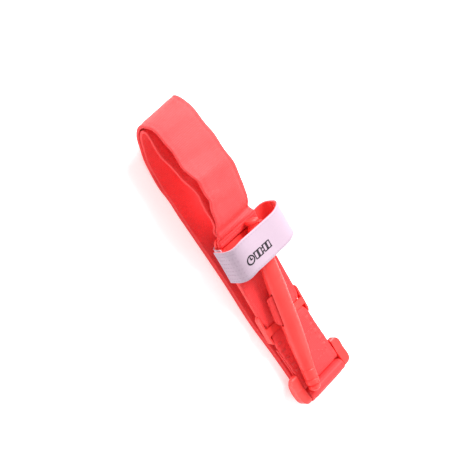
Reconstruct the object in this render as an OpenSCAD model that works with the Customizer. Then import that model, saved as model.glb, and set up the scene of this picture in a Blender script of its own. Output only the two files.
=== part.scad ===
// Windlass tourniquet, stored flat: a sleeved band folded double, a rod that twists an inner
// tension band, a bilateral clip that keeps the rod, a write-on strap and a one-hand buckle.
// X runs along the band towards the buckle, Y across it, Z up. Millimetres.

/* [Band] */
// Width of the sleeve
band_width = 37.4; // [30:0.2:50]
// Thickness of each sleeve ply
ply = 0.8; // [0.5:0.1:1.0]
// Thickness of the inner tension band
core = 1.0; // [0.6:0.1:1.0]
// Width of the inner tension band
core_width = 25; // [18:1:25]
// Width of the sewn seam along each edge
seam_width = 2.4; // [1.5:0.1:2.5]

/* [Windlass] */
// Overall length of the rod
rod_length = 130; // [124:1:130]
// Rod radius at its middle
rod_radius = 6.7; // [6.0:0.1:6.7]
// Rod radius where the clip holds it
rod_clip_radius = 5.3; // [5.0:0.1:5.3]
// Height of the rod's eye
eye_height = 2.4; // [2.2:0.1:3.0]
// Length of the rod's eye
eye_length = 25; // [24:1:28]
// Angle of the stowed rod across the band
rod_yaw = 10.4; // [8:0.2:11]

/* [Clip] */
// Distance from the rod's middle to the clip
clip_lever = 51; // [50:0.5:52]
// Length of the clip's hooks along the band
clip_length = 12; // [10:1:14]
// Half the width between the clip's walls
clip_inner = 16; // [16:0.1:16.2]
// Clip wall thickness
clip_wall = 2.8; // [2.4:0.1:2.8]
// Gap between the two hook tips
clip_mouth = 13; // [12:0.5:14]

/* [Plate] */
// Thickness of the stabilizing plate
plate_thick = 2.2; // [1.8:0.1:2.2]
// Half width across the plate's ears
ear_reach = 20.4; // [20.2:0.1:24]
// Width of the bar that crosses over the band
bridge_width = 5.5; // [5:0.5:6.5]

/* [Strap] */
// Width of the write-on strap
strap_width = 25; // [22:1:26]
// Thickness of each strap ply
strap_ply = 0.8; // [0.6:0.1:0.8]

/* [Buckle] */
// Radius of the bar the band is sewn round
fixed_bar_r = 1.55; // [1.45:0.05:1.55]
// Radius of the outer friction bar
outer_bar_r = 2.0; // [1.8:0.1:2.0]
// Half width across the buckle
buckle_reach = 26.5; // [25:0.5:27]

/* [Hidden] */
$fn = 64;

fabric_color = [0.90, 0.22, 0.24];
lining_color = [0.82, 0.12, 0.14];
plastic_color = [0.95, 0.25, 0.22];
strap_color = [0.95, 0.88, 0.94];
thread_color = [0.93, 0.35, 0.36];

half_w = band_width / 2;
core_half = core / 2;
thin_half = 0.15;
gap = 0.1;

// The deck: the straight, tilted stretch that carries plate, clip and rod.
deck_tilt = 7;
deck_x = 43.9;
deck_z = 23.3;
band_mid = -10;
band_top = band_mid + core_half + ply;
band_low = band_mid - core_half - ply;
plate_top = band_low - gap;
plate_low = plate_top - plate_thick;
dip_mid = -11.7;

// Buckle bars, in the XZ plane.
fixed_bar = [101, 8.95];
outer_bar = [110, 9.7];
fold_r = fixed_bar_r + gap + thin_half + ply;
bend_r = outer_bar_r + gap + core_half + ply;
floor_mid = core_half + ply;
second_mid = floor_mid + core + 2 * ply + gap;
cut_gap = 0.2;

// ---- path helpers ----
function deck(xp, w) = [
  deck_x + xp * cos(deck_tilt) + w * sin(deck_tilt),
  deck_z - xp * sin(deck_tilt) + w * cos(deck_tilt)];
function arc(c, r, a0, a1, n) =
  [for (i = [0 : n]) let (a = a0 + (a1 - a0) * i / n) [c[0] + r * cos(a), c[1] + r * sin(a)]];
function cr(a, b, c, d, t) = 0.5 * (2 * b + (c - a) * t
  + (2 * a - 5 * b + 4 * c - d) * t * t + (3 * b - a - 3 * c + d) * t * t * t);
function smooth(p, n) = concat(
  [for (i = [0 : len(p) - 2]) for (k = [0 : n - 1])
    cr(p[max(i - 1, 0)], p[i], p[i + 1], p[min(i + 2, len(p) - 1)], k / n)],
  [p[len(p) - 1]]);
function unit(v) = v / norm(v);
function turn_left(v) = [-v[1], v[0]];
function side(p, i) = turn_left(unit(p[min(i + 1, len(p) - 1)] - p[max(i - 1, 0)]));
function shifted(p, d) = [for (i = [0 : len(p) - 1]) p[i] + side(p, i) * d[i]];
function even(p, d) = [for (i = [0 : len(p) - 1]) d];
function backwards(p) = [for (i = [len(p) - 1 : -1 : 0]) p[i]];

// A strip between two offsets of a path, from y0 to y1.
module strip(p, d0, d1, y0, y1)
  translate([0, y1, 0]) rotate([90, 0, 0]) linear_extrude(y1 - y0)
    polygon(concat(shifted(p, d0), backwards(shifted(p, d1))));

// ---- the band's route ----
lower_tail = [[68, 8.55], [76, 8.75], [84, 8.95], [90, 8.8], [94.5, 7.95]];
sewn_upper = [[96, 11.55], [88, 11.35], [80, 11.15], [72, 10.95]];
over_deck = [deck(15.8, band_mid), deck(13.2, dip_mid), deck(7.6, dip_mid), deck(5.3, band_mid),
  deck(0, band_mid), deck(-20, band_mid), deck(-40, band_mid), deck(-60, band_mid)];
top_second = [[-24, 21.4], [-32, 22.8], [-39, 25.2], [-46, 28.4], [-53.5, 31.6], [-61, 33.2],
  [-68, 32.6], [-74, 29.8], [-80, 26.4], [-87, 24.2], [-95, 23.8], [-102.5, 24.6]];
far_second = [[-108, 24.4], [-110.6, 22.0], [-109.3, 19.0], [-105.6, 15.6], [-100.6, 12.4],
  [-94.4, 9.4], [-87.2, 6.9], [-79.4, 5.1], [-71.9, 4.3], [-64, second_mid]];
floor_second = [[-50, second_mid], [-30, second_mid], [0, second_mid], [40, second_mid],
  [80, second_mid], [96, second_mid]];
inner_path = concat(
  smooth(lower_tail, 2), arc(fixed_bar, fold_r, -112, 90, 16), smooth(sewn_upper, 2),
  over_deck, smooth(concat(top_second, far_second), 3), floor_second,
  [[fixed_bar[0] - cut_gap, second_mid]]);
// Index where the tension band starts: just past the sewn double stretch.
thin_count = len(smooth(lower_tail, 2)) + 17 + len(smooth(sewn_upper, 2));
inner_half = [for (i = [0 : len(inner_path) - 1]) i < thin_count ? thin_half : core_half];
core_path = [for (i = [thin_count : len(inner_path) - 1]) inner_path[i]];

bend_path = concat(
  smooth([[fixed_bar[0] + cut_gap, second_mid], [102.1, second_mid + 0.05], [104.1, 4.9], [105.9, 7.0]], 2),
  arc(outer_bar, bend_r, 180, -105, 22),
  smooth([[107.9, 4.8], [106.3, 3.1], [104.3, 1.8], [102.4, floor_mid + 0.05],
    [fixed_bar[0] + cut_gap, floor_mid]], 2));

outer_floor = [[fixed_bar[0] - cut_gap, floor_mid], [80, floor_mid], [40, floor_mid],
  [0, floor_mid], [-40, floor_mid]];
outer_turn = [[-62, floor_mid], [-72, 1.5], [-80, 2.3], [-88, 4.2], [-95.5, 6.8], [-102, 9.9],
  [-107.5, 13.4], [-111.8, 17.6], [-113.7, 22.2], [-111.8, 26.2], [-106, 29.2], [-98, 31.8],
  [-90, 34.1], [-82, 35.8], [-74, 36.8], [-66, 36.9], [-59, 36.4], [-52, 34.6], [-45, 31.6],
  [-38.5, 28.4], [-33, 26.2], [-28, 25.3]];
outer_end = [deck(-65.5, -7.15), deck(-61.5, -7.25)];
outer_path = concat(outer_floor, smooth(concat(outer_turn, outer_end), 3));

// ---- deck placement ----
module on_deck() translate([deck_x, 0, deck_z]) rotate([0, deck_tilt, 0]) children();
// The rod's middle lies a little off the band's midline.
rod_shift = -2.7;
// It also lies a little towards the far fold.
rod_back = 1.7;
// The rod's buckle end rides up on the sewn stretch.
rod_pitch = 0.6;
rod_lift = 0.7;
module on_rod() on_deck() translate([-rod_back, rod_shift, 0]) rotate([0, 0, -rod_yaw]) children();

rivet_x = 6.6;
rivet_y = 13.75;
rivet_r = 1.2;
module at_rivet(i) on_deck()
  translate([-clip_lever + (i < 2 ? -rivet_x : rivet_x), (i % 2 == 0 ? -rivet_y : rivet_y), 0])
    children();
module rivet_holes() for (i = [0 : 3]) at_rivet(i)
  translate([0, 0, plate_low - 1]) cylinder(r = rivet_r + 0.05, h = 9, $fn = 32);

// ---- sleeve, three stretches of one band ----
neck_r = 4;
module front_ply(p, h) strip(p, -h - even(p, ply), -h, -half_w, half_w);
module rear_ply(p, h) strip(p, h, h + even(p, ply), -half_w, half_w);
module seam(p, h, s) strip(p, -h, h, s > 0 ? half_w - seam_width : -half_w,
  s > 0 ? half_w : seam_width - half_w);

module sleeve_front_inner_run() color(fabric_color) difference() {
  front_ply(inner_path, inner_half);
  rivet_holes();
  on_deck() translate([-rod_back, rod_shift, band_mid]) cylinder(r = neck_r + 0.7, h = 4);
}
module sleeve_rear_inner_run() color(fabric_color) difference() {
  rear_ply(inner_path, inner_half);
  rivet_holes();
}
module tension_band_inner_run() color(lining_color)
  strip(core_path, even(core_path, -core_half), even(core_path, core_half),
    -core_width / 2, core_width / 2);
module seam_left_inner_run() color(thread_color) seam(inner_path, inner_half, -1);
module seam_right_inner_run() color(thread_color) seam(inner_path, inner_half, 1);

bend_half = even(bend_path, core_half);
module sleeve_front_bend() color(fabric_color) front_ply(bend_path, bend_half);
module sleeve_rear_bend() color(fabric_color) rear_ply(bend_path, bend_half);
module tension_band_bend() color(lining_color)
  strip(bend_path, -bend_half, bend_half, -core_width / 2, core_width / 2);
module seam_left_bend() color(thread_color) seam(bend_path, bend_half, -1);
module seam_right_bend() color(thread_color) seam(bend_path, bend_half, 1);

outer_half = even(outer_path, core_half);
module sleeve_front_outer_run() color(fabric_color) front_ply(outer_path, outer_half);
module sleeve_rear_outer_run() color(fabric_color) rear_ply(outer_path, outer_half);
module tension_band_outer_run() color(lining_color)
  strip(outer_path, -outer_half, outer_half, -core_width / 2, core_width / 2);
module seam_left_outer_run() color(thread_color) seam(outer_path, outer_half, -1);
module seam_right_outer_run() color(thread_color) seam(outer_path, outer_half, 1);

// Bound edge of the hole the twisted strands rise through.
module window_binding() color(thread_color) on_deck()
  translate([-rod_back, rod_shift, band_top]) difference() {
    cylinder(r = neck_r + 1.7, h = 0.3);
    translate([0, 0, -1]) cylinder(r = neck_r + 0.7, h = 3);
  }

// Box and cross of stitches over the sewn double stretch.
stitch_w = 0.9;
stitch_h = 0.35;
box_len = 20;
box_half = 15;
module stitch_line(a, b) let (d = b - a, ang = atan2(d[1], d[0]))
  translate([a[0], a[1], 0]) rotate([0, 0, ang]) translate([-stitch_w / 2, -stitch_w / 2, 0])
    cube([norm(d) + stitch_w, stitch_w, stitch_h]);
module buckle_end_stitching() color(thread_color)
  translate([84, 0, 11.25 + thin_half + ply + 0.04]) rotate([0, -1.43, 0]) union() {
    for (s = [-1, 1]) {
      stitch_line([-box_len / 2, s * box_half], [box_len / 2, s * box_half]);
      stitch_line([s * box_len / 2, -box_half], [s * box_len / 2, box_half]);
      stitch_line([-box_len / 2, -s * box_half], [box_len / 2, s * box_half]);
    }
  }

// Folded hem sewn on the free end.
hem_length = 4;
hem_path = smooth([deck(-65.5, -7.15), deck(-63.6, -7.2), deck(-61.5, -7.25)], 2);
module tail_hem() color(fabric_color)
  strip(hem_path, even(hem_path, core_half + ply + 0.06), even(hem_path, core_half + ply + 0.66),
    -half_w, half_w);

// ---- windlass rod ----
tip = rod_length / 2;
dome = 2.2;
half_profile = [
  [0, 0], [rod_radius, 0], [rod_radius, 14], [6.4, 25], [5.9, 36], [rod_clip_radius, 42.5],
  [5.15, tip - 17.4], [4.8, tip - 17.1], [4.8, tip - 16.5], [5.05, tip - 16.2],
  [5.05, tip - 9.9], [4.5, tip - 9.5], [4.5, tip - 8.7], [5.0, tip - 8.3]];
near_end = [[5.0, tip - 5.4], [3.6, tip - 4.9], [3.6, tip - 3.9], [4.4, tip - 3.5], [4.4, tip - dome]];
// The stowed end carries a flat cap.
far_end = [[4.9, tip - 6.2], [3.7, tip - 5.0], [3.7, tip - 2.8], [4.9, tip - 2.2], [4.9, tip - 0.6],
  [4.4, tip]];
dome_profile = [for (a = [15 : 15 : 90]) [2.2 + 2.2 * cos(a), tip - dome + dome * sin(a)]];
module half_rod(end) rotate_extrude($fn = 72)
  polygon(concat(half_profile, end, [[0, tip]]));
module windlass_rod() color(plastic_color) on_rod() translate([0, 0, rod_lift])
  rotate([0, -rod_pitch, 0]) difference() {
  union() {
    rotate([0, 90, 0]) half_rod(concat(near_end, dome_profile));
    rotate([0, -90, 0]) half_rod(far_end);
  }
  translate([-eye_length / 2 + 1.2, -10, -eye_height / 2])
    cube([eye_length - 2.4, 20, eye_height]);
  for (s = [-1, 1]) translate([s * (eye_length / 2 - 1.2), 0, 0]) rotate([90, 0, 0])
    cylinder(r = 1.2, h = 20, center = true);
}

// Inner band doubled through the rod's eye and gathered under it.
loop_in = rod_radius + 0.05;
loop_out = rod_radius + 1;
loop_half = 11.2;
loop_thick = 1.4;
module windlass_strand_loop() color(lining_color) on_rod() union() {
  translate([0, 0, rod_lift]) rotate([0, -rod_pitch, 0]) union() {
    translate([-loop_half, -loop_out + 0.4, -loop_thick / 2])
      cube([2 * loop_half, 2 * loop_out - 0.8, loop_thick]);
    difference() {
      rotate([0, 90, 0]) cylinder(r = loop_out, h = 2 * loop_half, center = true);
      rotate([0, 90, 0]) cylinder(r = loop_in, h = 3 * loop_half, center = true);
      translate([-20, -20, loop_thick / 2]) cube(40);
    }
  }
  translate([0, 0, band_mid + core_half + 0.03]) cylinder(r = neck_r, h = 2.4 + rod_lift);
}

// ---- clip ----
base_top = band_top + 2.1;
hook_low = 5.75;
hook_top = 7.75;
clip_outer = clip_inner + clip_wall;
module rounded(x0, y0, x1, y1, r) union() {
  translate([x0 + r, y0]) square([x1 - x0 - 2 * r, y1 - y0]);
  translate([x0, y0 + r]) square([x1 - x0, y1 - y0 - 2 * r]);
  for (x = [x0 + r, x1 - r], y = [y0 + r, y1 - r]) translate([x, y]) circle(r = r);
}
module clip_section() union() {
  difference() {
    rounded(-clip_outer, band_top + 0.05, clip_outer, hook_top, 3.2);
    rounded(-clip_inner, base_top, clip_inner, hook_low, 2.2);
    translate([-clip_mouth / 2 - 1.2, 0]) square([clip_mouth + 2.4, 20]);
  }
  for (s = [-1, 1]) translate([s * (clip_mouth / 2 + 1.2), (hook_low + hook_top) / 2])
    circle(r = (hook_top - hook_low) / 2);
  translate([-clip_outer, band_top + 0.05]) square([2 * clip_outer, 3]);
}
base_half = 9;
module windlass_clip() color(plastic_color) difference() {
  on_deck() translate([-clip_lever, 0, 0]) union() {
    difference() {
      translate([-clip_length / 2, 0, 0]) rotate([90, 0, 90]) linear_extrude(clip_length)
        clip_section();
      translate([-clip_length, -clip_inner, base_top]) cube([2 * clip_length, 2 * clip_inner, 3]);
    }
    translate([0, 0, band_top + 0.05]) linear_extrude(base_top - band_top - 0.05)
      rounded(-base_half, -clip_outer, base_half, clip_outer, 3);
    for (s = [-1, 1], t = [-1, 1]) translate([t * 6.6, s * (clip_inner + clip_wall / 2), band_top + 0.05])
      translate([-1.4, -clip_wall / 2, 0]) cube([2.8, clip_wall, 6]);
  }
  rivet_holes();
}
module clip_rivet(i) color(plastic_color) at_rivet(i) union() {
  translate([0, 0, plate_low]) cylinder(r = rivet_r, h = base_top - plate_low, $fn = 32);
  translate([0, 0, base_top]) cylinder(r = 2.1, h = 0.5, $fn = 32);
  translate([0, 0, plate_low - 0.5]) cylinder(r = 2.1, h = 0.5, $fn = 32);
}
module clip_rivet_1() clip_rivet(0);
module clip_rivet_2() clip_rivet(1);
module clip_rivet_3() clip_rivet(2);
module clip_rivet_4() clip_rivet(3);

// ---- stabilizing plate ----
bridge_x0 = 7.6;
bridge_x1 = bridge_x0 + bridge_width;
slot_w = 2.6;
slot_reach = 19.1;
ear_x0 = -4;
ear_x1 = 21;
plate_end = -66;
module plate_outline() union() {
  rounded(plate_end, -18, ear_x1 - 4, 18, 4);
  rounded(ear_x0, -ear_reach, ear_x1, ear_reach, 4);
}
module stabilizer_plate() color(plastic_color) difference() {
  on_deck() union() {
    difference() {
      translate([0, 0, plate_low]) linear_extrude(plate_thick) plate_outline();
      translate([bridge_x0 - slot_w, -slot_reach, plate_low - 1])
        cube([bridge_width + 2 * slot_w, 2 * slot_reach, 9]);
    }
    difference() {
      translate([0, 0, plate_low]) linear_extrude(band_top - plate_low)
        rounded(ear_x0, -ear_reach, ear_x1, ear_reach, 4);
      translate([-40, -half_w - 0.3, plate_low - 1]) cube([80, band_width + 0.6, 12]);
      translate([bridge_x0 - slot_w, -slot_reach, plate_low - 1])
        cube([bridge_width + 2 * slot_w, 2 * slot_reach, 12]);
    }
    translate([bridge_x0, -slot_reach - 1, dip_mid + core_half + ply + gap])
      cube([bridge_width, 2 * slot_reach + 2, 1.6]);
  }
  rivet_holes();
}

// ---- write-on strap, in the deck's YZ section ----
strap_x0 = -clip_lever - strap_width / 2;
// The flap's hinge lies on the strap's outer surface, at [35 + strap_shift, -2.3].
strap_shift = -1.95;
flap_path = smooth([[34.2, -1.0], [33.6, 2.4], [31.5, 5.8], [27.0, 8.2], [19.5, 9.2], [10, 9.3],
  [0, 9.3], [-8, 9.2], [-15, 8.8], [-20, 7.2], [-23.2, 4.2], [-24.4, 0.5], [-24.4, -4],
  [-24.3, -9.5]], 3);
anchor_low = plate_low - 0.6 - strap_ply;
anchor_path = smooth([[-21.1, 0.5], [-21.2, -4], [-21.2, -8.5], [-20.4, -12.3], [-17.0, anchor_low],
  [-10, anchor_low], [0, anchor_low], [10, anchor_low], [20.5, anchor_low], [28, -13.4],
  [32.4, -10.2], [34.0, -6.6], [34.2, -3.6]], 3);
// Both paths run so that their right-hand side faces the rod.
module across(p, d0, d1, x0 = strap_x0, w = strap_width) on_deck()
  translate([x0, strap_shift, 0]) rotate([90, 0, 90]) linear_extrude(w)
    polygon(concat(shifted(p, even(p, d0)), backwards(shifted(p, even(p, d1)))));
module strap_face() color(strap_color) across(flap_path, -strap_ply, 0);
module strap_backing() color(lining_color) across(flap_path, 0, strap_ply);
module strap_anchor_face() color(strap_color) difference() {
  across(anchor_path, -strap_ply, 0);
  rivet_relief();
}
module strap_anchor_backing() color(lining_color) difference() {
  across(anchor_path, 0, strap_ply);
  rivet_relief();
}
module rivet_relief() for (i = [0 : 3]) at_rivet(i)
  translate([0, 0, plate_low - 0.55]) cylinder(r = 2.2, h = 2, $fn = 32);
hook_path = smooth([[-21.1, 0.2], [-21.2, -4], [-21.2, -8.5]], 3);
module strap_hook_patch() color(lining_color)
  across(hook_path, -strap_ply - 0.95, -strap_ply - 0.1, strap_x0 + 1.5, strap_width - 3);
// Two rows of stitches along the flap's edges.
flap_mid = [for (i = [4 : len(flap_path) - 2]) flap_path[i]];
module strap_stitching() color(strap_color) union() {
  for (x = [strap_x0 + 1.6, strap_x0 + strap_width - 2.2])
    across(flap_mid, -strap_ply - 0.3, -strap_ply - 0.05, x, 0.6);
  on_deck() translate([strap_x0 + 1.8, -4, 9.33 + strap_ply])
    cube([strap_width - 3.6, 0.6, 0.3]);
}

// ---- buckle ----
module limb(p, q, a, b) let (n = turn_left(unit(q - p)))
  union() {
    translate(p) circle(r = a);
    translate(q) circle(r = b);
    polygon([p + n * a, q + n * b, q - n * b, p - n * a]);
  }
arm_end = [92, 11.0];
arm_in = half_w + 0.6;
bar_slit = 1.2;
module buckle_frame() color(plastic_color) union() {
  difference() {
    intersection() {
      translate([0, buckle_reach, 0]) rotate([90, 0, 0]) linear_extrude(2 * buckle_reach) union() {
        limb(fixed_bar, outer_bar, 3.4, 3.6);
        limb(arm_end, fixed_bar, 2.5, 3.4);
      }
      linear_extrude(40) rounded(arm_end[0] - 3, -buckle_reach, outer_bar[0] + 3.4, buckle_reach, 7);
    }
    translate([60, -arm_in, -1]) cube([80, 2 * arm_in, 40]);
  }
  translate([fixed_bar[0], 0, fixed_bar[1]]) rotate([90, 0, 0])
    cylinder(r = fixed_bar_r, h = 2 * arm_in + 2, center = true);
  translate([outer_bar[0], arm_in + 1, outer_bar[1]]) rotate([90, 0, 0])
    cylinder(r = outer_bar_r, h = 2 * arm_in + 1 - bar_slit);
}

windlass_rod();
windlass_strand_loop();
windlass_clip();
clip_rivet_1();
clip_rivet_2();
clip_rivet_3();
clip_rivet_4();
stabilizer_plate();
buckle_frame();
sleeve_front_inner_run();
sleeve_rear_inner_run();
tension_band_inner_run();
seam_left_inner_run();
seam_right_inner_run();
sleeve_front_bend();
sleeve_rear_bend();
tension_band_bend();
seam_left_bend();
seam_right_bend();
sleeve_front_outer_run();
sleeve_rear_outer_run();
tension_band_outer_run();
seam_left_outer_run();
seam_right_outer_run();
window_binding();
buckle_end_stitching();
tail_hem();
strap_face();
strap_backing();
strap_stitching();
strap_anchor_face();
strap_anchor_backing();
strap_hook_patch();
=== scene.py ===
"""Windlass tourniquet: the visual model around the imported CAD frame.

All lengths in the helpers are millimetres in the CAD frame; meshes are written in metres.
"""
import math

import bpy
import numpy as np
from mathutils import Matrix, Vector


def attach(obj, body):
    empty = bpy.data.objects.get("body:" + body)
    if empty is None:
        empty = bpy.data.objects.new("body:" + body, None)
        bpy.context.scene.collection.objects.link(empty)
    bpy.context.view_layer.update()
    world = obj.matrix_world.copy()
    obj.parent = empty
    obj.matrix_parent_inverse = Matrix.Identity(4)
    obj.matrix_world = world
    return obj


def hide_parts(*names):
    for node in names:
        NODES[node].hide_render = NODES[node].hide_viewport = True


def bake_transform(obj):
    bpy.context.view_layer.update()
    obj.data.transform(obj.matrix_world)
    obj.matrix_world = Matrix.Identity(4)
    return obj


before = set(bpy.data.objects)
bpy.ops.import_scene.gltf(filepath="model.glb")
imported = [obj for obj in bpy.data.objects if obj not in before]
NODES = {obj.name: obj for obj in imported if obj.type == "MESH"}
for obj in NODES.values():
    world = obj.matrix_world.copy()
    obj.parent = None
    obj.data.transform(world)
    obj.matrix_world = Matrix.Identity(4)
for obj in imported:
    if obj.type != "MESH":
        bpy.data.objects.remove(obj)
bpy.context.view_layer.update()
MM = 0.001

# ---------------------------------------------------------------- camera and light
CAM_AZ, CAM_EL, CAM_ROLL = (math.radians(a) for a in (-26.338, 57.114, 78.829))
CAM_AT = Vector((-176.02, -325.34, 580.02)) * MM
CAM_LENS, CAM_SENSOR = 75.16, 36

# Lights in metres and watts: name, place, size, power. All aim at the middle of the loop.
LIGHTS = [("key_light", (-0.60, 0.62, 0.90), 0.7, 27),
          ("fill_light", (0.25, -0.75, 0.8), 1.0, 0.8),
          ("rim_light", (0.7, 0.3, 0.5), 0.6, 1.5)]
LIGHT_AIM = (0.0, 0.0, 0.02)
WORLD_COLOUR, WORLD_STRENGTH = (1, 1, 1, 1), 0.79


def make_camera():
    """The photo's view: down on the loop from the front left, the camera turned on its side."""
    back = Vector((math.sin(CAM_AZ) * math.cos(CAM_EL), -math.cos(CAM_AZ) * math.cos(CAM_EL),
                   math.sin(CAM_EL)))
    level = Vector((math.cos(CAM_AZ), math.sin(CAM_AZ), 0))
    over = back.cross(level)
    right = level * math.cos(CAM_ROLL) + over * math.sin(CAM_ROLL)
    up = over * math.cos(CAM_ROLL) - level * math.sin(CAM_ROLL)
    data = bpy.data.cameras.new("camera")
    data.lens, data.sensor_width = CAM_LENS, CAM_SENSOR
    data.clip_start, data.clip_end = 0.01, 20
    cam = bpy.data.objects.new("camera", data)
    cam.matrix_world = Matrix.Translation(CAM_AT) @ Matrix((right, up, back)).transposed().to_4x4()
    bpy.context.scene.collection.objects.link(cam)
    bpy.context.scene.camera = cam


def area_light(name, at, size, power):
    data = bpy.data.lights.new(name, "AREA")
    data.shape, data.size, data.energy = "DISK", size, power
    lamp = bpy.data.objects.new(name, data)
    lamp.location = at
    lamp.rotation_euler = (Vector(at) - Vector(LIGHT_AIM)).to_track_quat("Z", "Y").to_euler()
    bpy.context.scene.collection.objects.link(lamp)


make_camera()
for light in LIGHTS:
    area_light(*light)
world = bpy.data.worlds.new("studio")
world.use_nodes = True
background = world.node_tree.nodes["Background"]
background.inputs["Color"].default_value = WORLD_COLOUR
background.inputs["Strength"].default_value = WORLD_STRENGTH
bpy.context.scene.world = world
bpy.context.scene.view_settings.view_transform = "Standard"


# ---------------------------------------------------------------- materials
class Nodes:
    """Short calls for building one material's node tree."""

    def __init__(self, name):
        self.mat = bpy.data.materials.new(name)
        self.mat.use_nodes = True
        self.tree = self.mat.node_tree
        self.shader = self.tree.nodes["Principled BSDF"]

    def new(self, kind, **values):
        """A node with its properties, or failing that its inputs, set by name."""
        node = self.tree.nodes.new(kind)
        for key, value in values.items():
            if hasattr(node, key):
                setattr(node, key, value)
            else:
                node.inputs[key.replace("_", " ")].default_value = value
        return node

    def link(self, a, b):
        self.tree.links.new(a, b)

    def socket(self, **values):
        """Plain values on the shader's own inputs."""
        for key, value in values.items():
            self.shader.inputs[key.replace("_", " ")].default_value = value

    def coords(self, output, scale):
        mapping = self.new("ShaderNodeMapping")
        mapping.inputs["Scale"].default_value = scale
        self.link(self.new("ShaderNodeTexCoord").outputs[output], mapping.inputs["Vector"])
        return mapping.outputs["Vector"]

    def noise(self, scale, detail=3.0, rough=0.55, stretch=(1, 1, 1)):
        tex = self.new("ShaderNodeTexNoise", Scale=scale, Detail=detail, Roughness=rough)
        self.link(self.coords("Object", stretch), tex.inputs["Vector"])
        return tex.outputs["Fac"]

    def wave(self, direction, scale):
        tex = self.new("ShaderNodeTexWave", wave_type="BANDS", bands_direction=direction,
                       Scale=scale)
        self.link(self.coords("UV", (1, 1, 1)), tex.inputs["Vector"])
        return tex.outputs["Fac"]

    def math(self, operation, a, b):
        node = self.new("ShaderNodeMath", operation=operation)
        for slot, value in zip(node.inputs, (a, b)):
            if isinstance(value, (int, float)):
                slot.default_value = value
            else:
                self.link(value, slot)
        return node.outputs[0]

    def ramp(self, factor, stops):
        node = self.new("ShaderNodeValToRGB")
        while len(node.color_ramp.elements) < len(stops):
            node.color_ramp.elements.new(0.5)
        for element, (at, colour) in zip(node.color_ramp.elements, stops):
            element.position, element.color = at, (*colour, 1)
        self.link(factor, node.inputs[0])
        return node.outputs[0]

    def mix(self, factor, a, b, blend="MIX"):
        node = self.new("ShaderNodeMix", data_type="RGBA", blend_type=blend)
        for slot, value in ((node.inputs[0], factor), (node.inputs[6], a), (node.inputs[7], b)):
            if isinstance(value, (int, float)):
                slot.default_value = value
            elif isinstance(value, tuple):
                slot.default_value = (*value, 1)
            else:
                self.link(value, slot)
        return node.outputs[2]

    def bump(self, height, strength, distance, after=None):
        """Relief of distance metres, on top of another bump if one is given."""
        node = self.new("ShaderNodeBump", Strength=strength, Distance=distance)
        self.link(height, node.inputs["Height"])
        if after is not None:
            self.link(after, node.inputs["Normal"])
        return node.outputs["Normal"]


def woven(name, colour, shade, pitch, rough=0.6, sheen=0.3, strength=0.55, shine=1.0):
    """Cloth of crossing yarns, its weft pitch millimetres apart, from UVs in metres."""
    n = Nodes(name)
    weft_scale = 1 / (pitch * MM * math.pi)
    warp, weft = n.wave("X", weft_scale * 0.5), n.wave("Y", weft_scale)
    weave = n.math("MULTIPLY", n.math("ADD", warp, 0.35), n.math("ADD", weft, 0.35))
    slow, fine = n.noise(38, 3), n.noise(900, 2)
    tone = n.ramp(n.math("ADD", n.math("MULTIPLY", slow, 0.65), n.math("MULTIPLY", fine, 0.35)),
                  [(0.30, shade), (0.62, colour)])
    between = n.ramp(weave, [(0.0, (0.90, 0.86, 0.86)), (0.55, (1, 1, 1))])
    n.link(n.mix(0.8, tone, between, "MULTIPLY"), n.shader.inputs["Base Color"])
    soft = n.bump(slow, 0.25, 0.0012)
    n.link(n.bump(weave, strength, 0.00022, soft), n.shader.inputs["Normal"])
    n.socket(Roughness=rough, Sheen_Weight=sheen, Sheen_Roughness=0.5, Specular_IOR_Level=shine)
    n.shader.inputs["Sheen Tint"].default_value = (1, 0.6, 0.58, 1)
    return n.mat


def napped(name, colour, shade):
    """Hook and loop: a dense fuzz of tiny loops."""
    n = Nodes(name)
    fuzz, slow = n.noise(2600, 4, 0.7), n.noise(60, 2)
    n.link(n.mix(n.math("MULTIPLY", fuzz, 0.9), shade, colour), n.shader.inputs["Base Color"])
    n.link(n.bump(fuzz, 0.8, 0.0005, n.bump(slow, 0.2, 0.001)), n.shader.inputs["Normal"])
    n.socket(Roughness=0.92, Sheen_Weight=0.35, Sheen_Roughness=0.5)
    return n.mat


def moulded(name, colour, shade):
    """Satin moulded plastic with a faint grain and slightly cloudy colour."""
    n = Nodes(name)
    grain, cloud, scuff = n.noise(3200, 2), n.noise(45, 4), n.noise(260, 5, 0.7)
    n.link(n.ramp(cloud, [(0.30, shade), (0.65, colour)]), n.shader.inputs["Base Color"])
    rough = n.math("ADD", 0.34, n.math("MULTIPLY", scuff, 0.22))
    n.link(rough, n.shader.inputs["Roughness"])
    n.link(n.bump(grain, 0.35, 0.00006, n.bump(scuff, 0.12, 0.0003)), n.shader.inputs["Normal"])
    n.socket(Specular_IOR_Level=0.45, Subsurface_Weight=0.06)
    n.shader.inputs["Subsurface Radius"].default_value = (0.003, 0.0008, 0.0006)
    return n.mat


def thread(name, colour, shade):
    """Twisted sewing thread."""
    n = Nodes(name)
    twist = n.noise(2200, 3, stretch=(1, 2.5, 1))
    n.link(n.mix(twist, shade, colour), n.shader.inputs["Base Color"])
    n.link(n.bump(twist, 0.6, 0.0002), n.shader.inputs["Normal"])
    n.socket(Roughness=0.6, Sheen_Weight=0.2)
    return n.mat


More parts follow.
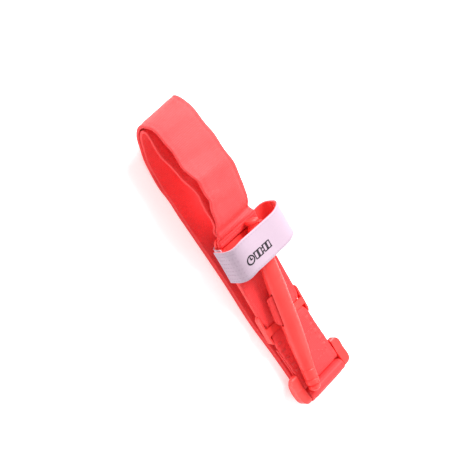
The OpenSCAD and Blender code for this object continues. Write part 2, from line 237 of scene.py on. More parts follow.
FABRIC = woven("red_sleeve_weave", (0.95, 0.038, 0.041), (0.88, 0.024, 0.028), 0.62,
               sheen=0.15, shine=0.5)
LINING = woven("red_band_weave", (0.92, 0.036, 0.036), (0.78, 0.020, 0.022), 0.9, sheen=0.15,
               strength=0.7, shine=0.4)
LOOPS = napped("red_loop_pile", (0.95, 0.050, 0.042), (0.76, 0.018, 0.018))
PLASTIC = moulded("red_moulded_plastic", (0.93, 0.050, 0.044), (0.86, 0.036, 0.032))
THREAD = thread("red_sewing_thread", (0.92, 0.070, 0.070), (0.74, 0.030, 0.034))
STRAP = woven("white_write_on_weave", (0.480, 0.368, 0.446), (0.460, 0.350, 0.428), 0.45,
              sheen=0.0, strength=0.2, shine=0.2)
WHITE_THREAD = thread("white_sewing_thread", (0.45, 0.33, 0.41), (0.34, 0.23, 0.30))
INK = moulded("black_ink", (0.012, 0.008, 0.013), (0.008, 0.005, 0.009))


# ---------------------------------------------------------------- the band's route, as in the CAD
BAND_WIDTH, PLY, CORE, THIN_CORE = 37.4, 0.8, 1.0, 0.3
HALF_W = BAND_WIDTH / 2
THICK, THIN = CORE / 2 + PLY, THIN_CORE / 2 + PLY  # half thicknesses, with and without the band
DECK_TILT, DECK_X, DECK_Z = math.radians(7), 43.9, 23.3
BAND_MID, DIP_MID = -10.0, -11.7  # heights on the deck, beside and under the plate's bridge
FIXED_BAR, OUTER_BAR = (101.0, 8.95), (110.0, 9.7)
FOLD_R, BEND_R = 2.6, 3.4
FLOOR_MID = THICK
SECOND_MID = FLOOR_MID + 2.7
WRAP_X = 80.0  # the wrap bends with the buckle from here on


def deck(xp, w):
    """x and z of a point xp along the tilted deck under the rod and w above its origin."""
    c, s = math.cos(DECK_TILT), math.sin(DECK_TILT)
    return (DECK_X + xp * c + w * s, DECK_Z - xp * s + w * c)


def deck3(xp, y, w):
    x, z = deck(xp, w)
    return (x, y, z)


def arc(centre, radius, a0, a1, count):
    angles = [math.radians(a0 + (a1 - a0) * i / count) for i in range(count + 1)]
    return [(centre[0] + radius * math.cos(a), centre[1] + radius * math.sin(a)) for a in angles]


def smooth(points, count):
    """A Catmull-Rom curve through the points, count steps to each span."""
    p = [np.array(q, float) for q in points]
    out = []
    for i in range(len(p) - 1):
        a, b, c, d = p[max(i - 1, 0)], p[i], p[i + 1], p[min(i + 2, len(p) - 1)]
        for k in range(count):
            t = k / count
            out.append(0.5 * (2 * b + (c - a) * t + (2 * a - 5 * b + 4 * c - d) * t * t
                              + (3 * b - a - 3 * c + d) * t ** 3))
    out.append(p[-1])
    return [tuple(q) for q in out]


LOWER_TAIL = [(68, 8.55), (76, 8.75), (84, 8.95), (90, 8.8), (94.5, 7.95)]
SEWN_UPPER = [(96, 11.55), (88, 11.35), (80, 11.15), (72, 10.95)]
OVER_DECK = [deck(15.8, BAND_MID), deck(13.2, DIP_MID), deck(7.6, DIP_MID), deck(5.3, BAND_MID),
             deck(0, BAND_MID), deck(-20, BAND_MID), deck(-40, BAND_MID), deck(-60, BAND_MID)]
TOP_SECOND = [(-24, 21.4), (-32, 22.8), (-39, 25.2), (-46, 28.4), (-53.5, 31.6), (-61, 33.2),
              (-68, 32.6), (-74, 29.8), (-80, 26.4), (-87, 24.2), (-95, 23.8), (-102.5, 24.6)]
FAR_SECOND = [(-108, 24.4), (-110.6, 22.0), (-109.3, 19.0), (-105.6, 15.6), (-100.6, 12.4),
              (-94.4, 9.4), (-87.2, 6.9), (-79.4, 5.1), (-71.9, 4.3), (-64, SECOND_MID)]
FLOOR_SECOND = [(x, SECOND_MID) for x in (-50, -30, 0, 40, 80, 96, 101)]
BEND = (smooth([(101.2, SECOND_MID), (102.1, 4.05), (104.1, 4.9), (105.9, 7.0)], 6)
        + arc(OUTER_BAR, BEND_R, 180, -105, 40)
        + smooth([(107.9, 4.8), (106.3, 3.1), (104.3, 1.8), (102.4, 1.35), (101.2, FLOOR_MID)], 6))
OUTER_FLOOR = [(100.8, FLOOR_MID)] + [(x, FLOOR_MID) for x in (80, 40, 0, -40)]
OUTER_TURN = [(-62, FLOOR_MID), (-72, 1.5), (-80, 2.3), (-88, 4.2), (-95.5, 6.8), (-102, 9.9),
              (-107.5, 13.4), (-111.8, 17.6), (-113.7, 22.2), (-111.8, 26.2), (-106, 29.2),
              (-98, 31.8), (-90, 34.1), (-82, 35.8), (-74, 36.8), (-66, 36.9), (-59, 36.4),
              (-52, 34.6), (-45, 31.6), (-38.5, 28.4), (-33, 26.2), (-28, 25.3),
              deck(-65.5, -7.15), deck(-61.5, -7.25)]

# How far each top layer rolls about its right-hand edge: the left edge stands higher.
ROLL_OUTER = [(-114, 6), (-110, 12), (-104, 13), (-96, 10.5), (-88, 9), (-79, 9), (-73, 12.5),
              (-68, 15), (-62, 13), (-57, 13.5), (-52, 15.5), (-46, 12.5), (-40, 13.5),
              (-30, 12.5), (-27, 9.5), (-24.8, 5), (-22.8, 0.6), (-21.5, 0)]
ROLL_INNER = [(-110, 5), (-102, 4), (-92, 5), (-84, 5), (-76, 4), (-66, 4), (-59, 7.5),
              (-50, 9.5), (-40, 10.5), (-30, 11), (-25, 9), (-21, 5), (-17.5, 1.2), (-14, 0)]


def table(pairs, x):
    """The value at x on straight lines between (x, value) pairs."""
    xs, ys = zip(*sorted(pairs))
    return float(np.interp(x, xs, ys))


def labelled_route():
    """The whole centreline: x, z, half thickness, roll in degrees, looseness, skew."""
    rows = []

    def add(points, half, roll=lambda x, t: 0.0, loose=0.0, skew=lambda x: 0.0):
        total = max(len(points) - 1, 1)
        for i, (x, z) in enumerate(points):
            rows.append((x, z, half, roll(x, i / total), loose, skew(x)))

    def far_skew(x):
        # The far fold leans: its left end stands nearer to the buckle.
        return 2.4 * max(0.0, min(1.0, (-96 - x) / 14)) ** 1.5

    add(smooth(LOWER_TAIL, 8) + arc(FIXED_BAR, FOLD_R, -112, 90, 40)
        + smooth(SEWN_UPPER, 8), THIN)
    add(OVER_DECK[:4], THICK)
    add(OVER_DECK[4:], THICK, lambda x, t: table(ROLL_INNER, x))
    add(smooth(TOP_SECOND, 8), THICK, lambda x, t: table(ROLL_INNER, x), 1.0, far_skew)
    add(smooth(FAR_SECOND, 8), THICK, lambda x, t: 5 * (1 - t) ** 1.5, 0.6, far_skew)
    add(FLOOR_SECOND, THICK)
    add(BEND, THICK)
    add(OUTER_FLOOR, THICK)
    turn = smooth(OUTER_TURN, 8)
    low = turn.index(min(turn, key=lambda q: q[0]))
    add(turn[:low], THICK, lambda x, t: 6 * max(0, (t - 0.4) / 0.6) ** 2, 0.5, far_skew)
    add(turn[low:], THICK, lambda x, t: table(ROLL_OUTER, x), 1.0, far_skew)
    return np.array(rows, float)


def resample(rows, step, sigma):
    """Even spacing along the route, with corners eased over sigma millimetres."""
    keep = np.r_[True, np.linalg.norm(np.diff(rows[:, :2], axis=0), axis=1) > 1e-4]
    rows = rows[keep]
    s = np.r_[0, np.cumsum(np.linalg.norm(np.diff(rows[:, :2], axis=0), axis=1))]
    fine = 0.25
    t = np.arange(0, s[-1] + fine / 2, fine)
    even = np.stack([np.interp(t, s, rows[:, k]) for k in range(rows.shape[1])], 1)
    reach = int(3 * sigma / fine)
    kernel = np.exp(-0.5 * (np.arange(-reach, reach + 1) * fine / sigma) ** 2)
    kernel /= kernel.sum()
    head = 2 * even[:1] - even[reach:0:-1]
    tail = 2 * even[-1:] - even[-2:-reach - 2:-1]
    padded = np.vstack([head, even, tail])
    eased = np.stack([np.convolve(padded[:, k], kernel, "valid")
                      for k in range(rows.shape[1])], 1)
    skip = max(1, int(round(step / fine)))
    index = np.r_[np.arange(0, len(t) - 1, skip), len(t) - 1]
    return eased[index], t[index]


def normals_of(p):
    """Unit normals on the right-hand side of a route."""
    tangent = np.gradient(p, axis=0)
    tangent /= np.linalg.norm(tangent, axis=1)[:, None]
    return np.stack([tangent[:, 1], -tangent[:, 0]], 1)


# ---------------------------------------------------------------- mesh helpers
def mesh_object(name, points, faces, material, uvs=None, flat=False):
    """A closed mesh from millimetres, with its faces turned outward."""
    mesh = bpy.data.meshes.new(name)
    mesh.from_pydata([tuple(np.asarray(p, float) * MM) for p in points], [], faces)
    mesh.validate(clean_customdata=False)
    if uvs is not None:
        layer = mesh.uv_layers.new(name="UVMap")
        co = np.asarray(uvs, float) * MM
        for loop in mesh.loops:
            layer.data[loop.index].uv = co[loop.vertex_index]
    mesh.materials.append(material)
    mesh.update()
    if not flat:
        mesh.shade_smooth()
    if sum(p.center.dot(p.normal) * p.area for p in mesh.polygons) < 0:
        mesh.flip_normals()
    obj = bpy.data.objects.new(name, mesh)
    bpy.context.scene.collection.objects.link(obj)
    return obj


def place(obj, body, replaced=()):
    """Ride a piece on one body, and hide the CAD nodes it stands for."""
    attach(obj, body)
    finish_piece(replaced)


def finish_piece(replaced=()):
    if replaced:
        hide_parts(*replaced)


def tube_faces(stations, ring):
    """Quads of a closed tube, with a fan at each end."""
    faces = []
    for i in range(stations - 1):
        for k in range(ring):
            a, b = i * ring + k, i * ring + (k + 1) % ring
            faces.append((a, b, b + ring, a + ring))
    faces.append(tuple(range(ring - 1, -1, -1)))
    faces.append(tuple((stations - 1) * ring + k for k in range(ring)))
    return faces


# ---------------------------------------------------------------- the sleeve's shape
STEP_Y, STITCH_Y = 14.4, 16.6  # where the band inside ends, and the edge stitches
SLOT_X, SLOT_SPREAD, SLOT_DRAW = 52.9, 6.3, 2.2  # drawn in by the plate's slots
TAUT_X, TAUT_FADE = -22, 8  # taut where the rod's end lies over the top layer
FAR_X, FAR_SPAN, FAR_REACH = -70, 45, 3.0  # the far fold reaches past the CAD's
BOW_X, BOW_SPREAD, BOW_REACH = 42, 24, 1.3  # the floor layers bow sideways
FLOOR_BELOW, TOP_ABOVE, CRESTS_FROM = 6, 18, 22  # heights that tell the layers apart
SEWN_X, SEWN_ABOVE = (60, 91), 10  # the sewn stretch that puckers


def sleeve_ring():
    """The sleeve's section, as shares of the half width and half thickness. The faces step down
    past the band inside and dip under the stitches; the plies meet in a groove at each edge."""
    top = []
    for a in np.linspace(-1, 1, 33):
        y = abs(a) * HALF_W
        step = 0.20 * 0.5 * (1 + math.tanh((y - STEP_Y) / 0.7))
        dip = 0.13 * math.exp(-((y - STITCH_Y) / 0.55) ** 2)
        top.append((a * 0.98, 1 - step - dip))
    edge = [(0.985, 0.72), (0.998, 0.62), (1.0, 0.40), (0.996, 0.20), (0.985, 0.06)]
    ring = top + edge + [(a, -h) for a, h in reversed(edge)]
    ring += [(a, -h) for a, h in reversed(top)]
    ring += [(-a, -h) for a, h in edge] + [(-a, h) for a, h in reversed(edge)]
    return np.array(ring)


RING = sleeve_ring()
ROWS, ARC = resample(labelled_route(), 1.25, 0.9)
NORMAL = normals_of(ROWS[:, :2])

# Where the route is cut into pieces: the wrap round the buckle, and the start of the top layer.
ORDER = np.arange(len(ROWS))
LAST = len(ROWS) - 1
BUCKLE_TIP = np.argmax(ROWS[:, 0])
WRAP_FIRST = max(ORDER[(ORDER < BUCKLE_TIP) & (ROWS[:, 0] < WRAP_X) & (ROWS[:, 1] < FLOOR_BELOW)])
WRAP_LAST = min(ORDER[(ORDER > BUCKLE_TIP) & (ROWS[:, 0] < WRAP_X)])
TOP_START = int(np.argmax((ROWS[:, 0] < -100) & (ORDER > len(ROWS) * 0.6)))


def waves(s, y, loose):
    """Soft unevenness of slack cloth along the normal, in millimetres."""
    a = 0.42 * math.sin(s / 5.3 + 0.045 * y + 0.8) + 0.30 * math.sin(s / 3.1 - 0.06 * y + 2.1)
    b = 0.25 * math.sin(s / 8.9 + 0.11 * y)
    return loose * (a + b)


def edge_waves(s, side, loose):
    """How far each edge wanders in and out, in millimetres."""
    return loose * (0.55 * math.sin(s / 7.1 + side * 1.7) + 0.35 * math.sin(s / 3.7 + side * 0.6))


def creases(x, y):
    """The cross valley and ridges of the top layers next to the strap and over the crest."""
    slant = x - 0.066 * y
    valley = -2.6 * math.exp(-((slant + 28.6) / 2.4) ** 2)
    ridge = 1.1 * math.exp(-((slant + 24.4) / 1.5) ** 2)
    bulge = 1.1 * math.exp(-((slant + 36.5) / 5.0) ** 2)
    nip = -0.9 * math.exp(-((slant + 70) / 3.5) ** 2) * (0.5 - 0.5 * y / HALF_W)
    return valley + ridge + bulge + nip


def puckers(x, y):
    """Ribs that the box stitching draws up along both edges of the sewn stretch."""
    ends = min(1.0, (x - SEWN_X[0]) / 3, (SEWN_X[1] - x) / 7)
    side = 0.80 if y < 0 else 0.34
    reach = max(0.0, min(1.0, (abs(y) - 8.5) / 4))
    return side * ends * reach * (0.5 + 0.5 * math.sin(2 * math.pi * (x - 0.25 * abs(y)) / 5.2))


def sleeve_point(i, across, height, lift=0.0):
    """A point on station i: across from -1 to 1, height as a share of the half thickness."""
    x, z, half, roll, loose, skew = ROWS[i]
    nx, nz = NORMAL[i]
    if i >= TOP_START:
        loose *= max(0.0, min(1.0, (TAUT_X - x) / TAUT_FADE))
    side = 1 if across > 0 else -1
    width = HALF_W + edge_waves(ARC[i], side, loose) * abs(across) ** 3
    if i < WRAP_FIRST and z > 8:
        width -= SLOT_DRAW * math.exp(-((x - SLOT_X) / SLOT_SPREAD) ** 4)
    y = across * width
    push = waves(ARC[i], y, loose) * 0.8
    if i >= TOP_START and z >= CRESTS_FROM:
        push -= creases(x, y)  # this layer's normal points down
    elif i < TOP_START and z > TOP_ABOVE and nz > 0:
        push += creases(x, y)
    if i < WRAP_FIRST and SEWN_X[0] < x < SEWN_X[1] and z > SEWN_ABOVE and nz > 0:
        push += puckers(x, y)
    u = height * half + lift + push
    phi = math.radians(roll)
    arm = HALF_W - y  # the layer rolls about its right-hand edge
    slide = skew * (0.5 - 0.5 * across) - FAR_REACH * max(0.0, (FAR_X - x) / FAR_SPAN) ** 2
    bow = -BOW_REACH * math.exp(-((x - BOW_X) / BOW_SPREAD) ** 2) if z < FLOOR_BELOW else 0.0
    return (x + nx * u + slide, HALF_W - arm * math.cos(phi) + bow,
            z + nz * u + arm * math.sin(phi))


def sleeve_piece(name, first, last):
    """The sleeve between two stations, closed at both ends."""
    points, uvs = [], []
    around = np.r_[0, np.cumsum(np.linalg.norm(np.diff(RING * (HALF_W, 1.3), axis=0), axis=1))]
    for i in range(first, last + 1):
        for k, (a, h) in enumerate(RING):
            points.append(sleeve_point(i, a, h))
            uvs.append((ARC[i], around[k]))
    return mesh_object(name, points, tube_faces(last - first + 1, len(RING)), FABRIC, uvs)


inner_run = sleeve_piece("sleeve_inner_run", 0, WRAP_FIRST)
place(inner_run, "band",
      ("sleeve_front_inner_run", "sleeve_rear_inner_run", "tension_band_inner_run",
       "seam_left_inner_run", "seam_right_inner_run"))
outer_run = sleeve_piece("sleeve_outer_run", WRAP_LAST, LAST)
place(outer_run, "band",
      ("sleeve_front_outer_run", "sleeve_rear_outer_run", "tension_band_outer_run",
       "seam_left_outer_run", "seam_right_outer_run"))
wrap = sleeve_piece("sleeve_buckle_wrap", WRAP_FIRST, WRAP_LAST)
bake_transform(wrap)
finish_piece(("sleeve_front_bend", "sleeve_rear_bend", "tension_band_bend", "seam_left_bend",
              "seam_right_bend"))


# ---------------------------------------------------------------- stitches
def stitch_mesh(name, stitches, radius, material, sides=6):
    """Each stitch is (centre, direction, outward, length): a thread that dives in at both ends."""
    points, faces = [], []
    profile = [(-0.5, 0.25, -0.9), (-0.38, 0.8, -0.25), (-0.15, 1.0, 0.25), (0.15, 1.0, 0.25),
               (0.38, 0.8, -0.25), (0.5, 0.25, -0.9)]
    for centre, along, out, length in stitches:
        c, t, n = (np.asarray(v, float) for v in (centre, along, out))
        t = t / np.linalg.norm(t)
        n = n - t * n.dot(t)
        n /= np.linalg.norm(n)
        b = np.cross(t, n)
        base = len(points)
        for at, size, lift in profile:
            mid = c + t * at * length + n * lift * radius
            for k in range(sides):
                a = 2 * math.pi * k / sides
                points.append(mid + (b * math.cos(a) + n * math.sin(a)) * radius * size)
        faces += [tuple(base + v for v in face) for face in tube_faces(len(profile), sides)]
    return mesh_object(name, points, faces, material)


def frame_at(i, across, height):
    """Position, direction and outward normal on the sleeve's surface."""
    p = np.array(sleeve_point(i, across, height))
    ahead = np.array(sleeve_point(min(i + 1, LAST), across, height))
    behind = np.array(sleeve_point(max(i - 1, 0), across, height))
    out = np.array(sleeve_point(i, across, height, 1.0 if height > 0 else -1.0)) - p
    return p, ahead - behind, out


def edge_rows(name, first, last):
    """One row of stitches along each edge, on both faces."""
    stitches = []
    share, skip = 0.888, 3  # in the dip of the section, and one stitch every three stations
    for across in (-share, share):
        for height in (0.68, -0.68):
            for i in range(first + 2, last - 1, skip):
                p, t, n = frame_at(i, across, height)
                stitches.append((p, t, n, 2.5))
    return stitch_mesh(name, stitches, 0.24, THREAD)


place(edge_rows("inner_run_edge_stitches", 0, WRAP_FIRST), "band")
place(edge_rows("outer_run_edge_stitches", WRAP_LAST, LAST), "band")
wrap_rows = edge_rows("buckle_wrap_edge_stitches", WRAP_FIRST, WRAP_LAST)
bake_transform(wrap_rows)
finish_piece()


def upper_station(x):
    """Station of the sewn stretch and deck above the plate nearest to x."""
    ok = (ORDER < WRAP_FIRST) & (ROWS[:, 1] > 10.6) & (NORMAL[:, 1] > 0.3)
    return int(ORDER[ok][np.argmin(abs(ROWS[ok, 0] - x))])


def sewn_lines(name, lines, radius=0.3, pitch=3.0, length=2.3):
    """Stitches along straight lines (x, y) to (x, y) on the sewn stretch's top face."""
    stitches = []
    for (x0, y0), (x1, y1) in lines:
        count = max(1, int(math.hypot(x1 - x0, y1 - y0) / pitch))
        for k in range(count):
            t = (k + 0.5) / count
            x, y = x0 + (x1 - x0) * t, y0 + (y1 - y0) * t
            i = upper_station(x)
            p = np.array(sleeve_point(i, y / HALF_W, 0.98))
            p[0] = x
            n = (NORMAL[i][0], 0, NORMAL[i][1])
            direction = np.array((x1 - x0, y1 - y0, 0.0))
            stitches.append((p, direction, n, length))
    return stitch_mesh(name, stitches, radius, THREAD)


A, B, C, D = (73.5, -14), (93.5, -14), (93.5, 14), (73.5, 14)  # a box with a cross in it
box = [(A, B), (D, C), (A, D), (B, C), (A, C), (D, B)]
place(sewn_lines("buckle_box_stitching", box), "band", ("buckle_end_stitching",))
TACK_LENGTH, TACK_GAP, TACK_THREADS = 3.8, 0.5, 4
bar_lines = []
for x in (63.5, 69.5, 75.5, 81.5, 87.0):
    for y in (-17.0, 12.4):
        for k in range(TACK_THREADS):
            start = x + TACK_GAP * k
            bar_lines.append(((start, y), (start + 0.4, y + TACK_LENGTH)))
place(sewn_lines("buckle_end_bartacks", bar_lines, 0.27, 4.2, TACK_LENGTH), "band")

# The hem's cloth lies under the free end, whose normal points down on top.
HEM_SIDE, HEM_STATIONS, HEM_THICK, HEM_RIM = -0.98, 5, 0.64, 0.42


def tail_hem():
    """The free end's folded hem: a soft rolled ply on the end of the outer run."""
    last = HEM_STATIONS - 1
    rim = [(LAST - last + k, HEM_THICK if 0 < k < last else HEM_RIM) for k in range(HEM_STATIONS)]
    outline = [(i, 0.02) for i, _ in rim] + [(i, lift) for i, lift in reversed(rim)]
    points, uvs = [], []
    across = np.linspace(-0.985, 0.985, 41)
    for a in across:
        squeeze = 1 - 0.35 * max(0, abs(a) - 0.95) / 0.035
        for i, lift in outline:
            points.append(sleeve_point(i, a, HEM_SIDE, -lift * squeeze))
            uvs.append((a * HALF_W, ARC[i] + lift))
    faces = tube_faces(len(across), len(outline))
    return mesh_object("tail_hem_fold", points, faces, FABRIC, uvs)


place(tail_hem(), "band", ("tail_hem",))
hem_stitches = []
HEM_COUNT = 14
for k in range(HEM_COUNT):
    p, _, n = frame_at(LAST - 2, -0.9 + 1.8 * k / (HEM_COUNT - 1), HEM_SIDE)
    hem_stitches.append((p + n / np.linalg.norm(n) * 0.62, (0, 1, 0), n, 2.0))
place(stitch_mesh("tail_hem_stitches", hem_stitches, 0.24, THREAD), "band")


# ---------------------------------------------------------------- write-on strap
# Routes are (along Y from the strap's own middle, height) in the deck's cross section.
STRAP_CX, STRAP_HALF, STRAP_SHIFT, STRAP_PLY = -51.0, 12.5, -1.95, 0.8
ANCHOR_LOW = -15.0
LEAN_RIGHT, LEAN_LEFT = -2.0, 1.9
FLAP = [(34.1, -2.08), (34.1, -1.0), (33.4, 2.6), (31.0, 6.1), (26.6, 8.3), (19.5, 9.2), (10, 9.3),
        (0, 9.3), (-7, 9.1), (-12.2, 8.3), (-16.4, 6.5), (-19.3, 3.6), (-20.5, 0.2), (-20.7, -4),
        (-20.7, -9.5)]
ANCHOR = [(-18.0, -5.0), (-18.1, -6.5), (-18.1, -9.5), (-17.5, -12.6), (-15.2, ANCHOR_LOW),
          (-10, ANCHOR_LOW), (0, ANCHOR_LOW), (10, ANCHOR_LOW), (20.5, ANCHOR_LOW), (28, -13.4),
          (32.4, -10.2), (34.0, -6.6), (34.2, -3.6), (34.2, -2.52)]


def ease(t):
    """0 to 1 with a soft start and end."""
    t = min(1, max(0, t))
    return t * t * (3 - 2 * t)


def lean(a):
    """The strap runs a little askew round its two turns."""
    return LEAN_LEFT * ease((-8 - a) / 11) + LEAN_RIGHT * ease((a - 22) / 12)


class Tape:
    """A tape that follows a route in the deck's cross section."""

    def __init__(self, route, step=0.9, ripple=0.0):
        self.ripple = ripple  # millimetres
        self.p, self.s = resample(np.array(smooth(route, 8)), step, 0.7)
        self.n = normals_of(self.p)  # these point outward

    def wave(self, s, x):
        """Soft ripple and slightly raised edges."""
        fade = min(1, s / 5)  # flat at the hinge
        return self.ripple * fade * (math.sin(s / 6.5 + 0.1 * x) + (abs(x) / STRAP_HALF) ** 4)

    def at(self, i, x, out):
        """A point at station i, x across the tape and out from its middle line."""
        a, w = self.p[i] + self.n[i] * out
        return deck3(STRAP_CX + x + lean(a), a + STRAP_SHIFT, w)

    def sheet(self, name, low, high, half, material):
        """A ply from low to high along the outward normal, with softly rounded edges."""
        soft, shy = 0.25, 0.06
        mid, h = (low + high) / 2, (high - low) / 2
        across = np.linspace(-1, 1, 17)
        ring = [(a * (half - soft), h) for a in across]
        ring += [(half - shy, h * 0.6), (half, 0), (half - shy, -h * 0.6)]
        ring += [(a * (half - soft), -h) for a in reversed(across)]
        ring += [(-half + shy, -h * 0.6), (-half, 0), (-half + shy, h * 0.6)]
        points, uvs = [], []
        for i in range(len(self.p)):
            for k, (x, out) in enumerate(ring):
                points.append(self.at(i, x, mid + out + self.wave(self.s[i], x)))
                uvs.append((self.s[i], x + (40 if out < 0 else 0)))
        return mesh_object(name, points, tube_faces(len(self.p), len(ring)), material, uvs)

    def locate(self, arc_at, x, out):
        """The same at any length along the tape."""
        out += self.wave(arc_at, x)
        a = np.interp(arc_at, self.s, self.p[:, 0])
        w = np.interp(arc_at, self.s, self.p[:, 1])
        na, nw = np.interp(arc_at, self.s, self.n[:, 0]), np.interp(arc_at, self.s, self.n[:, 1])
        return deck3(STRAP_CX + x + lean(a + na * out), a + na * out + STRAP_SHIFT, w + nw * out)

    def arc_of(self, a_wanted):
        """Length along the tape at which its upper side passes a_wanted."""
        index = np.arange(len(self.p))[self.p[:, 1] > 5]
        return float(self.s[index[np.argmin(abs(self.p[index, 0] - a_wanted))]])


flap, anchor = Tape(FLAP, ripple=0.12), Tape(ANCHOR)
place(flap.sheet("strap_flap_face", 0.02, STRAP_PLY, STRAP_HALF, STRAP), "strap_flap",
      ("strap_face",))
place(flap.sheet("strap_flap_lining", -STRAP_PLY, 0.0, STRAP_HALF - 0.25, LOOPS), "strap_flap",
      ("strap_backing",))
place(anchor.sheet("strap_anchor_tape", 0.02, STRAP_PLY, STRAP_HALF, STRAP), "band",
      ("strap_anchor_face",))
place(anchor.sheet("strap_anchor_lining", -STRAP_PLY, 0.0, STRAP_HALF - 0.25, LOOPS), "band",
      ("strap_anchor_backing",))
patch = Tape([(-18.05, -5.2), (-18.1, -6.5), (-18.1, -9.2)])
place(patch.sheet("strap_hook_square", 0.85, 1.6, STRAP_HALF - 1.6, LOOPS), "band",
      ("strap_hook_patch",))


def tape_stitches(name, tape, rows, out, radius, material, pitch=2.4, length=1.7):
    """Rows along the tape: (x, first arc, last arc)."""
    stitches = []
    for x, s0, s1 in rows:
        for s in np.arange(s0, s1, pitch):
            p = np.array(tape.locate(s, x, out))
            t = np.array(tape.locate(s + 0.5, x, out)) - np.array(tape.locate(s - 0.5, x, out))
            n = np.array(tape.locate(s, x, out + 1)) - p
            stitches.append((p, t, n, length))
    return stitch_mesh(name, stitches, radius, material)


# Stitches along both edges, and seven short rows on the end that hooks on.
flap_end = flap.s[-1]
long_rows = [(x, 3, flap_end - 3) for x in (-STRAP_HALF + 1.5, STRAP_HALF - 1.5)]
side_rows = [(x, flap_end - 16.5, flap_end - 1.5) for x in np.linspace(-9, 9, 7)]
place(tape_stitches("strap_flap_stitches", flap, long_rows + side_rows, 0.86, 0.16, WHITE_THREAD),
      "strap_flap", ("strap_stitching",))


def print_marks():
    """A clock, four write-in boxes and a colon, as thin raised ink."""
    zero = flap.arc_of(-STRAP_SHIFT) + 5.7
    ink_low, ink_thick = STRAP_PLY + 0.03, 0.07

    def spot(u, v, out):
        # u runs along the strap towards +Y, v towards the far fold.
        return flap.locate(zero - u, 2.7 - v, ink_low + out)

    points, faces = [], []

    def stroke(line, width, closed=False):
        """A flat line of ink with mitred corners."""
        line = [np.array(q, float) for q in line]
        count = len(line)
        base = len(points)
        for k in range(count):
            before = line[k - 1] if closed or k else line[k]
            after = line[(k + 1) % count] if closed or k < count - 1 else line[k]
            d = after - before
            d /= np.linalg.norm(d)
            n = np.array((-d[1], d[0]))
            if closed or 0 < k < count - 1:
                d1 = line[k] - line[k - 1]
                d1 /= np.linalg.norm(d1)
                n = n / max(0.5, abs(np.array((-d1[1], d1[0])).dot(n)))
            for side, out in ((1, 0.0), (1, ink_thick), (-1, ink_thick), (-1, 0.0)):
                q = line[k] + n * side * width / 2
                points.append(spot(q[0], q[1], out))
        spans = count if closed else count - 1
        for k in range(spans):
            a, b = base + 4 * k, base + 4 * ((k + 1) % count)
            for j in range(4):
                faces.append((a + j, a + (j + 1) % 4, b + (j + 1) % 4, b + j))
        if not closed:
            faces.append(tuple(base + j for j in (3, 2, 1, 0)))
            faces.append(tuple(base + 4 * (count - 1) + j for j in range(4)))

    clock_u, clock_r, hand = -6.3, 2.8, 0.9
    stroke([(clock_u + clock_r * math.cos(a), clock_r * math.sin(a))
            for a in np.linspace(0, 2 * math.pi, 41)[:-1]], 0.95, True)
    stroke([(clock_u + 0.1, 2.0), (clock_u, 1.0), (clock_u, 0.0)], hand)
    stroke([(clock_u - 0.35, 0.0), (clock_u + 0.8, -0.05), (clock_u + 1.5, -0.1)], hand)
    box_w, box_h = 2.7, 2.5
    corners = ((0, -box_h), (box_w, -box_h), (box_w, box_h), (0, box_h))
    for left in (-2.3, 1.35, 6.2, 9.85):
        outline = []
        for (x0, y0), (x1, y1) in zip(corners, corners[1:] + corners[:1]):
            outline += [(left + x0 + (x1 - x0) * t, y0 + (y1 - y0) * t) for t in (0, 0.34, 0.67)]
        stroke(outline, 0.8, True)
    for height in (-1.2, 1.2):  # the colon
        stroke([(4.65, height), (5.15, height), (5.65, height)], 1.0)
    return mesh_object("strap_time_marks", points, faces, INK, flat=True)


place(print_marks(), "strap_flap")  # ink on the strap's own fabric


# ---------------------------------------------------------------- strands between rod and sleeve
ROD_YAW, ROD_PITCH = math.radians(-10.4), math.radians(0.6)
ROD_LIFT, ROD_BACK, ROD_SHIFT = 0.7, 1.7, -2.7


def on_rod(x, y, w):
    """A point in the rod's own axes: x along it, w up from its middle line."""
    c, s = math.cos(ROD_YAW), math.sin(ROD_YAW)
    w += ROD_LIFT + x * math.sin(ROD_PITCH)
    return deck3(x * c - y * s - ROD_BACK, x * s + y * c + ROD_SHIFT, w)


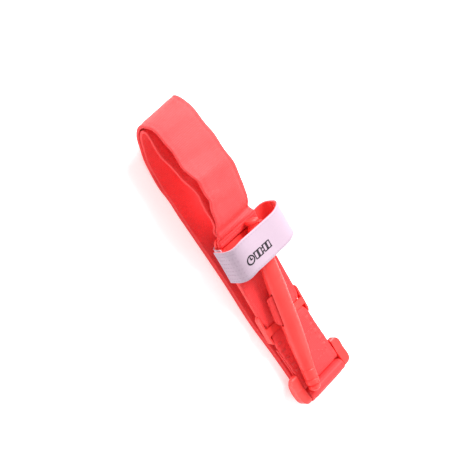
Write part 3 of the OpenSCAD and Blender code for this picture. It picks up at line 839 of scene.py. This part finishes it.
def strand_sheet(name, side):
    """One end of the inner band: out of the rod's eye, round the rod, gathered into the neck."""
    route = [(0.2, 0.0), (3.5, 0.05), (6.2, 0.0), (7.3, -0.7), (7.9, -2.2), (8.2, -4.0),
             (7.6, -5.8), (6.0, -7.1), (3.9, -7.9), (2.2, -8.7), (1.8, -9.9)]
    rows, s = resample(np.array(smooth(route, 6)), 0.55, 0.4)
    n = normals_of(rows)
    eye_half, neck_half, count = 11.0, 3.3, 41
    points, uvs = [], []
    for i in range(len(rows)):
        t = s[i] / s[-1]
        gather = ease((t - 0.30) / 0.70)
        half = eye_half * (1 - gather) + neck_half * gather
        ring = [(a, 0.5) for a in np.linspace(-1, 1, count)]
        ring += [(a, -0.5) for a in np.linspace(1, -1, count)]
        for k, (a, h) in enumerate(ring):
            pleat = (0.05 + 0.65 * gather ** 2) * math.cos(a * 5 * math.pi + 0.6)
            thick = h * (0.62 if abs(a) < 0.98 else 0.3)
            b, w = rows[i] + n[i] * (thick + pleat)
            x = a * half - 1.2 * (1 - gather) * side * max(0.0, t - 0.25)
            points.append(on_rod(x, side * b, w))
            uvs.append((s[i], a * eye_half + (30 if h < 0 else 0)))
    faces = tube_faces(len(rows), 2 * count)
    if side < 0:
        faces = [tuple(reversed(f)) for f in faces]
    return mesh_object(name, points, faces, LINING, uvs)


place(strand_sheet("inner_band_strand_right", 1), "windlass",
      ("windlass_strand_loop",))
place(strand_sheet("inner_band_strand_left", -1), "windlass")


# ---------------------------------------------------------------- carried-over CAD nodes
PLASTIC_NODES = ("windlass_rod", "windlass_clip", "stabilizer_plate", "buckle_frame",
                 "clip_rivet_1", "clip_rivet_2", "clip_rivet_3", "clip_rivet_4")
for node_name, material in [(n, PLASTIC) for n in PLASTIC_NODES] + [("window_binding", THREAD)]:
    node = NODES[node_name]
    node.data.materials.clear()
    node.data.materials.append(material)


# ---------------------------------------------------------------- floor
def make_floor():
    """A plain pale table, 12 metres square and just under the part."""
    mesh = bpy.data.meshes.new("floor")
    r, z = 6.0, -0.0003
    mesh.from_pydata([(-r, -r, z), (r, -r, z), (r, r, z), (-r, r, z)], [], [(0, 1, 2, 3)])
    n = Nodes("pale_floor")
    n.link(n.ramp(n.noise(3.0), [(0.3, (0.93, 0.93, 0.93)), (0.7, (0.95, 0.95, 0.95))]),
           n.shader.inputs["Base Color"])
    n.socket(Roughness=0.9, Specular_IOR_Level=0.1, Emission_Strength=0.34)
    n.shader.inputs["Emission Color"].default_value = (1, 1, 1, 1)  # a lit table, like a light box
    mesh.materials.append(n.mat)
    obj = bpy.data.objects.new("floor", mesh)
    bpy.context.scene.collection.objects.link(obj)


make_floor()
